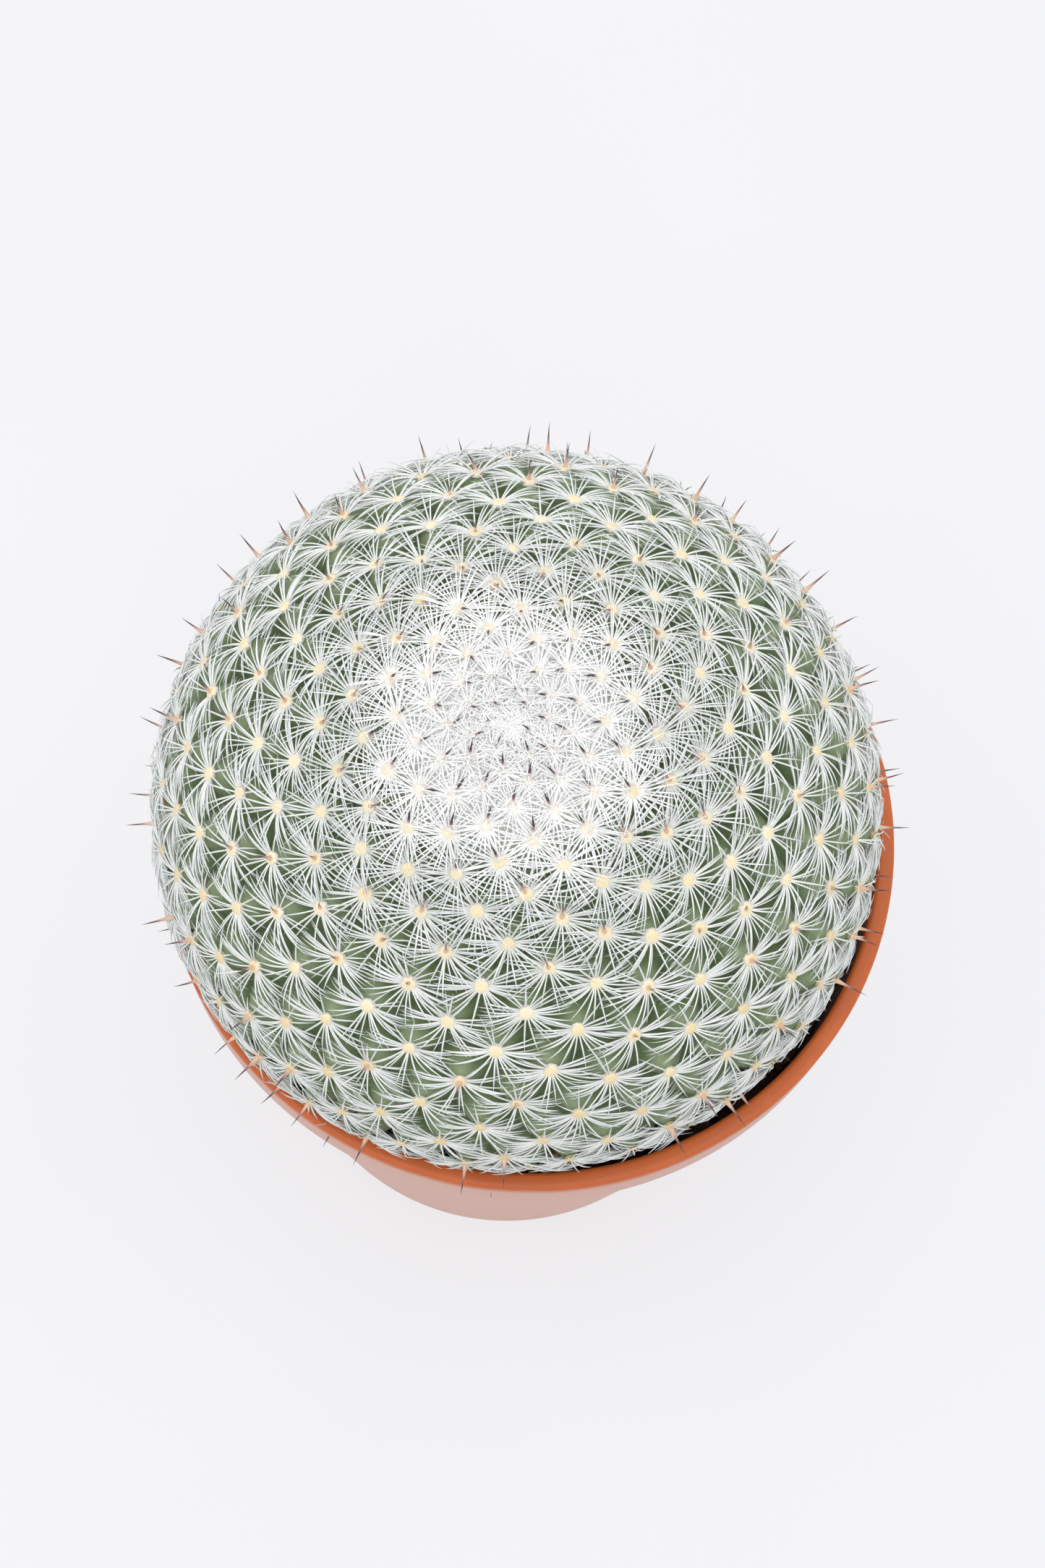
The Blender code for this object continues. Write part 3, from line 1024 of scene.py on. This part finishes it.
@dataclass
class RadialSpines(SpineCoat):
    """The fine white spines that lie round each areole like the teeth of a comb.

    Angles are in degrees. From the crown down the spines grow longer and lie
    flatter, the comb opens along the tubercle, and at the margin they droop.
    """

    thickness: float = 0.138 * MM
    full_length: float = 6.1 * MM
    length: Course = Course(3.5 * MM, ((6.1 * MM, 0.0, 22.0),))
    length_range: Range = (0.94, 1.05)
    margin_length: Course = Course(1.0, ((0.92, 46.0, 66.0),))
    ageing: Course = Course(0.0, ((1.0, 14.0, 40.0),))
    drooping: Course = Course(0.0, ((1.0, 46.0, 66.0),))
    count: Course = Course(24, ((35, 4.0, 18.0), (39, 46.0, 66.0)))
    count_drift: int = 2
    twist: float = 8.0
    unevenness: float = 0.32
    rise: Course = Course(50.0, ((36.0, 0.0, 15.0), (26.0, 14.0, 40.0), (11.0, 46.0, 66.0)))
    rise_spread: Course = Course(0.22, ((0.06, 4.0, 18.0),))
    layer_drop: float = 12.0
    hug: Course = Course(14.0, ((46.0, 3.0, 26.0), (32.0, 46.0, 66.0)))
    hug_spread: Course = Course(0.3, ((0.11, 4.0, 18.0),))
    upright_ease: float = 0.3
    upright_trim: float = 0.22
    upright_power: int = 3
    shortest: Course = Course(0.6, ((0.86, 4.0, 18.0),))
    longest: float = 1.08
    foot_ring: float = 0.66 * MM
    foot_share: Course = Course(0.6, ((1.0, 4.0, 18.0),))
    foot_lift: float = 0.15 * MM
    bare_arc: float = 3.4 * MM
    comb: float = 0.4
    lower_comb: float = 0.45
    comb_bend: float = 20.0
    gap_chance: float = 0.45
    margin_gaps: float = 0.2
    roll_spread: float = 0.12
    seed: int = SEED + 2
    bends: tuple[float, ...] = (6.0, 16.0, 26.0, 36.0, 46.0, 56.0, 66.0, 78.0)
    stoutness: tuple[float, ...] = (1.0, 1.45)
    stout_below: float = 0.78

    def build(self, areoles: list[Areole]) -> None:
        """Grow the spines belt by belt.

        Args:
            areoles: where they grow.
        """
        share = self.thickness / self.full_length
        blanks = [blank for stout in self.stoutness for blank in self.blanks(share * stout)]
        rooted = [areole for areole in areoles if areole.arc >= self.bare_arc]
        for zone in SpineZone:
            horn = NEW_HORN if zone is SpineZone.CROWN else WHITE_HORN
            tufts = (self.tuft(areole, blanks) for areole in rooted if zone.holds(areole))
            self.finish("radial_spines_" + zone.name.lower(), horn, tufts, blanks[0])
        bpy.data.batch_remove(blanks)

    def nearest_blank(self, bend: float, length: float) -> int:
        """Pick the blank that comes closest, a stout one for a short spine.

        Args:
            bend: the bend wanted, in radians.
            length: the spine's length.

        Returns:
            The blank's place in the list.
        """
        row = 1 if length < self.full_length * self.stout_below else 0
        order = range(len(self.bends))
        best = min(order, key=lambda i: abs(math.radians(self.bends[i]) - bend))
        return row * len(self.bends) + best

    def tuft(self, areole: Areole, blanks: list[Mesh]) -> BMesh:
        """Grow one areole's ring of spines.

        Args:
            areole: where they grow.
            blanks: the unit spines they are cut from.

        Returns:
            The ring.
        """
        rng = random.Random(self.seed + areole.index * 101)
        tuft = bmesh.new()
        arc = areole.arc
        aged, drooping = self.ageing.at(arc), self.drooping.at(arc)
        rise, hug = math.radians(self.rise.at(arc)), math.radians(self.hug.at(arc))
        comb_bend, drop = math.radians(self.comb_bend), math.radians(self.layer_drop)
        length = self.length.at(arc) * rng.uniform(*self.length_range) * self.margin_length.at(arc)
        count = round(self.count.at(arc)) + rng.randint(-self.count_drift, self.count_drift)
        offset = rng.uniform(0.0, math.tau)
        twist = math.radians(rng.uniform(-self.twist, self.twist))
        for index in range(count):
            jitter = rng.uniform(-self.unevenness, self.unevenness)
            even = offset + math.tau * (index + jitter) / count
            combed = aged * (1.0 if math.sin(even) > 0.0 else self.lower_comb)
            angle = even - self.comb * combed * math.sin(2.0 * even)
            upright = abs(math.sin(angle)) ** self.upright_power
            gaps = between(1.0, self.margin_gaps, drooping)
            if rng.random() < self.gap_chance * combed * upright * gaps:
                continue
            sideways = -comb_bend * combed * math.sin(2.0 * angle)
            down = hug * (1.0 - self.upright_ease * upright)
            down += rng.gauss(0.0, self.hug_spread.at(arc))
            angle += twist
            flat = areole.side * math.cos(angle) + areole.crownward * math.sin(angle)
            layer = -drop * aged if index % 3 == 0 else drop / 4.0
            lift = rise + layer + rng.gauss(0.0, self.rise_spread.at(arc))
            run = flat * math.cos(lift) + areole.normal * math.sin(lift)
            reach = length * rng.uniform(self.shortest.at(arc), self.longest)
            reach *= 1.0 - self.upright_trim * combed * upright * (1.0 - drooping)
            foot = areole.place + flat * (self.foot_ring * self.foot_share.at(arc))
            foot += areole.normal * (self.shape.tip_height(arc) + self.foot_lift)
            blank = blanks[self.nearest_blank(math.hypot(down, sideways), reach)]
            roll = math.atan2(sideways, down) + rng.gauss(0.0, self.roll_spread)
            set_spine(tuft, blank, foot, run, areole.normal, reach, roll)
        return tuft


@dataclass
class CentralSpines(SpineCoat):
    """The stouter spines that stand up from the areoles, dark at their tips.

    Angles are in degrees. The young ones lean in over the growing point, and
    the older ones stand out from the stem.
    """

    thickness: float = 0.2 * MM
    length: float = 4.2 * MM
    young_length: Course = Course(0.74, ((1.0, 0.0, 14.0),))
    old_length: Course = Course(1.0, ((1.12, 40.0, 60.0),))
    length_range: Range = (0.88, 1.1)
    chance: Course = Course(0.97, ((0.66, 14.0, 26.0), (0.38, 28.0, 42.0), (0.5, 54.0, 66.0)))
    lift: Course = Course(62.0, ((52.0, 2.0, 12.0), (80.0, 16.0, 60.0)))
    lift_spread: float = 6.0
    swing_spread: float = 0.22
    roll_spread: float = 0.3
    foot_lift: float = 0.1 * MM
    bare_arc: float = 3.0 * MM
    young_arc: float = 20.0 * MM
    young_taper: float = 0.55
    older_taper: float = 0.15
    older_flare: float = 1.25
    tip_share: float = 0.05
    sides: int = 6
    seed: int = SEED + 3
    bends: tuple[float, ...] = (4.0, 10.0, 18.0)

    def build(self, areoles: list[Areole]) -> None:
        """Grow the central spines, those of the crown apart from the older ones.

        Args:
            areoles: where they grow.
        """
        young = [areole for areole in areoles if self.bare_arc < areole.arc < self.young_arc]
        older = [areole for areole in areoles if areole.arc >= self.young_arc]
        share = self.thickness / self.length
        form = {"sides": self.sides, "tip_share": self.tip_share}
        slim = self.blanks(share, taper_from=self.young_taper, **form)
        stout = self.blanks(share, taper_from=self.older_taper, flare=self.older_flare, **form)
        crown = (self.tuft(areole, slim) for areole in young)
        self.finish("central_spines_crown", PLUM_HORN, crown, slim[0])
        body = (self.tuft(areole, stout) for areole in older)
        self.finish("central_spines_body", ROSE_HORN, body, stout[0])
        bpy.data.batch_remove(slim + stout)

    def tuft(self, areole: Areole, blanks: list[Mesh]) -> BMesh:
        """Grow one central spine, or none.

        Args:
            areole: where it grows.
            blanks: the unit spines it is cut from.

        Returns:
            The spine.
        """
        rng = random.Random(self.seed + areole.index * 131)
        tuft = bmesh.new()
        if rng.random() >= self.chance.at(areole.arc):
            return tuft
        arc = areole.arc
        lift = math.radians(self.lift.at(arc) + rng.gauss(0.0, self.lift_spread))
        swing = rng.gauss(0.0, self.swing_spread)
        flat = areole.crownward * math.cos(swing) + areole.side * math.sin(swing)
        run = flat * math.cos(lift) + areole.normal * math.sin(lift)
        length = self.length * self.young_length.at(arc) * rng.uniform(*self.length_range)
        length *= self.old_length.at(arc)
        foot = areole.place + areole.normal * (self.shape.tip_height(arc) + self.foot_lift)
        blank = blanks[rng.randrange(len(blanks))]
        set_spine(tuft, blank, foot, run, -flat, length, rng.gauss(0.0, self.roll_spread))
        return tuft


@dataclass
class CrownWool(SpineCoat):
    """The white wool that closes over the growing point."""

    strands: int = 3000
    reach: float = 17.0 * MM
    thickness: float = 0.1 * MM
    length: float = 3.0 * MM
    length_range: Range = (0.6, 1.2)
    lift: float = 40.0
    foot_range: Range = (-0.1, 0.6)
    roll_spread: float = 0.9
    tip_share: float = 0.3
    sides: int = 3
    tuft_size: int = 30
    seed: int = SEED + 4
    bends: tuple[float, ...] = (70.0, 110.0, 160.0)

    def build(self) -> None:
        """Lay the wool strand by strand."""
        share = self.thickness / self.length
        blanks = self.blanks(share, sides=self.sides, tip_share=self.tip_share)
        self.finish("crown_wool", WOOL, self.tufts(blanks), blanks[0])
        bpy.data.batch_remove(blanks)

    def tufts(self, blanks: list[Mesh]) -> Iterable[BMesh]:
        """Lay the strands at random, denser towards the growing point.

        Args:
            blanks: the unit strands they are cut from.

        Yields:
            A tuft of strands at a time.
        """
        rng = random.Random(self.seed)
        tuft = bmesh.new()
        for index in range(self.strands):
            arc = self.reach * (1.0 - math.sqrt(rng.random()))
            turn = rng.uniform(0.0, math.tau)
            point = Vector((arc * math.cos(turn), arc * math.sin(turn), self.shape.top_height))
            place, normal = self.shape.on_surface(point)
            heading = rng.uniform(0.0, math.tau)
            level = Vector((math.cos(heading), math.sin(heading), 0.0))
            flat = (level - normal * level.dot(normal)).normalized()
            lift = math.radians(rng.uniform(0.0, self.lift))
            run = flat * math.cos(lift) + normal * math.sin(lift)
            height = self.shape.wool_height(arc) + rng.uniform(*self.foot_range) * MM
            length = self.length * rng.uniform(*self.length_range)
            blank = blanks[rng.randrange(len(blanks))]
            roll = rng.gauss(0.0, self.roll_spread)
            set_spine(tuft, blank, place + normal * height, run, normal, length, roll)
            if (index + 1) % self.tuft_size == 0:
                yield tuft
                tuft = bmesh.new()
        tuft.free()


# ---- pot and soil


@dataclass
class MouldedPot:
    """The thin-walled pot: rounded lip, collar, tapered wall, foot ring and drained floor."""

    rim_radius: float
    height: float
    foot_radius: float = 36.0 * MM
    wall: float = 1.5 * MM
    lip_width: float = 2.6 * MM
    lip_round: float = 0.8 * MM
    collar_height: float = 10.0 * MM
    collar_step: float = 1.2 * MM
    collar_draft: float = 0.6 * MM
    collar_round: float = 0.5 * MM
    collar_chamfer: float = 0.3 * MM
    floor: float = 1.8 * MM
    lift: float = 2.2 * MM
    foot_ring: float = 3.0 * MM
    foot_round: float = 1.2 * MM
    centre_hole: float = 4.5 * MM
    drain_hole: float = 3.8 * MM
    drain_circle: float = 23.0 * MM
    drain_count: int = 6
    corner_steps: int = 6
    steps: int = 180
    sharp_angle: float = math.radians(30.0)

    def wall_radius(self, height: float) -> float:
        """Outer radius of the wall below the collar at a height."""
        top = self.rim_radius - self.collar_draft - self.collar_step
        return between(self.foot_radius, top, height / (self.height - self.collar_height))

    def corner(self, radius: float, height: float, size: float, start: float) -> list[Range]:
        """Round a corner of the profile by a quarter turn clockwise.

        Args:
            radius: how far the corner's centre is from the pot's axis.
            height: how high it is.
            size: the corner's own radius.
            start: first angle in degrees, 0 pointing outward and 90 up.

        Returns:
            The (radius, height) points.
        """
        shares = [step / self.corner_steps for step in range(self.corner_steps + 1)]
        angles = [math.radians(between(start, start - 90.0, share)) for share in shares]
        return [(radius + size * math.cos(a), height + size * math.sin(a)) for a in angles]

    def profile(self) -> list[Range]:
        """Draw the closed outline of the wall, down the outside and up the inside.

        Returns:
            The (radius, height) points.
        """
        base = self.height - self.collar_height
        collar = self.rim_radius - self.collar_draft
        inner = self.rim_radius - self.lip_width
        lip = self.height - self.lip_round
        top = self.lift + self.floor
        foot_inner = self.foot_radius - self.foot_ring
        inner_foot = self.wall_radius(top) - self.wall
        chamfer, bead, heel = self.collar_chamfer, self.collar_round, self.foot_round
        return [
            *self.corner(self.rim_radius - self.lip_round, lip, self.lip_round, 90.0),
            *self.corner(collar - bead, base + bead, bead, 0.0),
            (self.wall_radius(base) + chamfer, base),
            (self.wall_radius(base - chamfer), base - chamfer),
            *self.corner(self.foot_radius - heel, heel, heel, 0.0),
            (foot_inner, 0.0),
            (foot_inner - self.lift / 2.0, self.lift),
            (self.centre_hole, self.lift),
            (self.centre_hole, top),
            (inner_foot - self.floor, top),
            (inner_foot, top + self.floor),
            (self.wall_radius(base) - self.wall, base - self.lip_width),
            (inner, base + self.lip_width),
            *self.corner(inner + self.lip_round, lip, self.lip_round, 180.0),
        ]

    def drain_cutter(self) -> Object:
        """Make the pegs that open the drain holes in the floor.

        Returns:
            The pegs as one object.
        """
        bm = bmesh.new()
        for index in range(self.drain_count):
            turn = math.tau * index / self.drain_count
            spot = Vector((math.cos(turn), math.sin(turn), 0.0)) * self.drain_circle
            spot.z = self.lift + self.floor / 2.0
            bmesh.ops.create_cone(
                bm,
                cap_ends=True,
                segments=32,
                radius1=self.drain_hole,
                radius2=self.drain_hole,
                depth=self.floor * 3.0,
                matrix=Matrix.Translation(spot),
            )
        return add_object("drain_cutter", mesh_of("drain_cutter", bm))

    def build(self) -> None:
        """Turn the pot, open its drain holes and dress it."""
        bm = bmesh.new()
        points = [bm.verts.new((radius, 0.0, height)) for radius, height in self.profile()]
        edges = [bm.edges.new(pair) for pair in zip(points, points[1:] + points[:1])]
        bmesh.ops.spin(
            bm,
            geom=points + edges,
            cent=(0.0, 0.0, 0.0),
            axis=(0.0, 0.0, 1.0),
            angle=math.tau,
            steps=self.steps,
            use_merge=True,
        )
        bmesh.ops.remove_doubles(bm, verts=bm.verts, dist=0.001 * MM)
        bmesh.ops.recalc_face_normals(bm, faces=bm.faces)
        pot = make_piece("moulded_pot", bm, POT_PLASTIC.material())
        cutter = self.drain_cutter()
        drill = pot.modifiers.new("drain_holes", "BOOLEAN")
        drill.operation = "DIFFERENCE"
        drill.solver = "EXACT"
        drill.object = cutter
        graph = bpy.context.evaluated_depsgraph_get()
        mesh = bpy.data.meshes.new_from_object(pot.evaluated_get(graph))
        pot.modifiers.clear()
        pot.data = mesh
        bpy.data.objects.remove(cutter, do_unlink=True)
        mesh.shade_smooth()
        mesh.set_sharp_from_angle(angle=self.sharp_angle)
        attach(pot, ROOT_BODY)
        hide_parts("pot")


@dataclass
class SoilTop:
    """The soil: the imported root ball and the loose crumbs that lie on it."""

    node: Object
    level: float
    stem: StemShape
    inner_radius: float = 48.0 * MM
    stem_gap: float = 0.5 * MM
    crumbs: int = 950
    crumb: float = 0.95 * MM
    crumb_range: Range = (0.5, 1.35)
    ruggedness: Range = (0.72, 1.25)
    spread: Range = (0.7, 1.3)
    flatness: Range = (0.5, 0.9)
    sinking: Range = (-0.2, 0.5)
    tilt: float = 0.6
    seed: int = SEED + 5

    def ring_radius(self, turn: float) -> float:
        """Find how far the stem reaches at soil level.

        Args:
            turn: the direction from the pot's axis, in radians.

        Returns:
            The distance from the pot's axis.
        """
        depth = self.stem.buried_height / self.stem.lower_depth
        radius = self.stem.radius * math.sqrt(1.0 - depth * depth)
        centre = Vector(self.stem.centre[:2])
        return radius + centre.dot(Vector((math.cos(turn), math.sin(turn))))

    def grain(self, rng: random.Random) -> BMesh:
        """Break one crumb and drop it on the ring of soil that shows.

        Args:
            rng: the draw for all crumbs.

        Returns:
            The crumb in its place.
        """
        bm = bmesh.new()
        bmesh.ops.create_icosphere(bm, subdivisions=1, radius=1.0)
        for vertex in bm.verts:
            vertex.co *= rng.uniform(*self.ruggedness)
        turn = rng.uniform(0.0, math.tau)
        low = self.ring_radius(turn) + self.stem_gap
        radius = between(low, self.inner_radius, rng.random())
        size = self.crumb * rng.uniform(*self.crumb_range)
        place = Vector((radius * math.cos(turn), radius * math.sin(turn), self.level))
        place.z += size * rng.uniform(*self.sinking)
        sides = (self.spread, self.spread, self.flatness)
        shape = Vector([rng.uniform(*side) for side in sides]) * size
        spin = Matrix.Rotation(rng.uniform(0.0, math.tau), 4, "Z")
        tilt = Matrix.Rotation(rng.uniform(-self.tilt, self.tilt), 4, "X")
        matrix = Matrix.Translation(place) @ spin @ tilt @ Matrix.Diagonal((*shape, 1.0))
        bmesh.ops.transform(bm, matrix=matrix, verts=bm.verts)
        return bm

    def build(self) -> None:
        """Dress the root ball and strew its crumbs."""
        wear(self.node, SOIL_MIX.material())
        rng = random.Random(self.seed)
        whole = joined(self.grain(rng) for _ in range(self.crumbs))
        grains = make_piece("soil_crumbs", whole, SOIL_MIX.material())
        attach(grains, ROOT_BODY)


# ---- the studio


@dataclass
class Studio:
    """A pale floor, soft light from all round and a camera that looks down on the crown."""

    rim_height: float
    elevation: float = math.radians(70.2)
    distance: float = 496.4 * MM
    aim: Range = (-1.66 * MM, 6.7 * MM)
    roll: float = math.radians(6.9)
    lens: float = 79.5
    clip_start: float = 0.01
    floor_size: float = 4.0
    floor_squares: int = 8
    dome: float = 0.88
    dome_colour: str = "FBFBFF"
    softbox_place: tuple[float, float, float] = (-0.1, -0.12, 1.5)
    softbox_size: float = 2.0
    softbox_watts: float = 15.4
    wool_bounces: int = 12

    def camera(self) -> None:
        """Set the camera."""
        sin_tilt, cos_tilt = math.sin(self.elevation), math.cos(self.elevation)
        back = Vector((0.0, -cos_tilt, sin_tilt))
        right = Vector((1.0, 0.0, 0.0))
        up = Vector((0.0, sin_tilt, cos_tilt))
        x_axis = right * math.cos(self.roll) + up * math.sin(self.roll)
        y_axis = up * math.cos(self.roll) - right * math.sin(self.roll)
        place = Vector((*self.aim, self.rim_height)) + back * self.distance
        data = bpy.data.cameras.new("studio_camera")
        data.lens = self.lens
        data.clip_start = self.clip_start
        camera = add_object("studio_camera", data)
        camera.matrix_world = frame_of(place, x_axis, y_axis, back)
        bpy.context.scene.camera = camera

    def floor(self) -> None:
        """Lay the lit sheet that the pot stands on."""
        bm = bmesh.new()
        squares = self.floor_squares
        bmesh.ops.create_grid(
            bm, x_segments=squares, y_segments=squares, size=self.floor_size / 2.0
        )
        sheet = make_piece("table_top", bm, TABLE.material())
        sheet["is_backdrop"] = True

    def light(self) -> None:
        """Light the set with a white dome and one wide soft box that faces the plant."""
        world = bpy.data.worlds.new("studio_dome")
        world.use_nodes = True
        sky = {"Color": linear(self.dome_colour), "Strength": self.dome}
        feed(world.node_tree, world.node_tree.nodes["Background"], sky)
        bpy.context.scene.world = world
        data = bpy.data.lights.new("overhead_softbox", "AREA")
        data.shape = "DISK"
        data.size = self.softbox_size
        data.energy = self.softbox_watts
        place = Vector(self.softbox_place)
        turn = (Vector((0.0, 0.0, self.rim_height)) - place).to_track_quat("-Z", "Y")
        softbox = add_object("overhead_softbox", data)
        softbox.matrix_world = Matrix.Translation(place) @ turn.to_matrix().to_4x4()

    def build(self) -> None:
        """Set up the whole studio."""
        bpy.context.scene.view_settings.view_transform = "Standard"
        bpy.context.scene.cycles.diffuse_bounces = self.wool_bounces
        self.camera()
        self.floor()
        self.light()


def main() -> None:
    """Build the potted cactus and its studio."""
    logging.basicConfig(level=logging.INFO, format="%(name)s: %(message)s")
    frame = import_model()
    cad_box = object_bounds()
    pot_low, pot_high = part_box("pot")
    _, soil_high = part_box("soil")
    crumb_bed = soil_high.z - 0.4 * MM
    shape = StemShape()
    areoles = shape.areoles()
    LOG.info("%d areoles", len(areoles))
    MouldedPot(rim_radius=(pot_high.x - pot_low.x) / 2.0, height=pot_high.z).build()
    SoilTop(frame["nodes"]["soil"], crumb_bed, shape).build()
    StemSkin(shape).build(areoles)
    AreolePads(shape).build(areoles)
    RadialSpines(shape).build(areoles)
    CentralSpines(shape).build(areoles)
    CrownWool(shape).build()
    Studio(rim_height=pot_high.z).build()
    boxes = {"cad": cad_box, "visual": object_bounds()}
    {key: [list(low), list(high)] for key, (low, high) in boxes.items()}


if __name__ == "__main__":
    main()
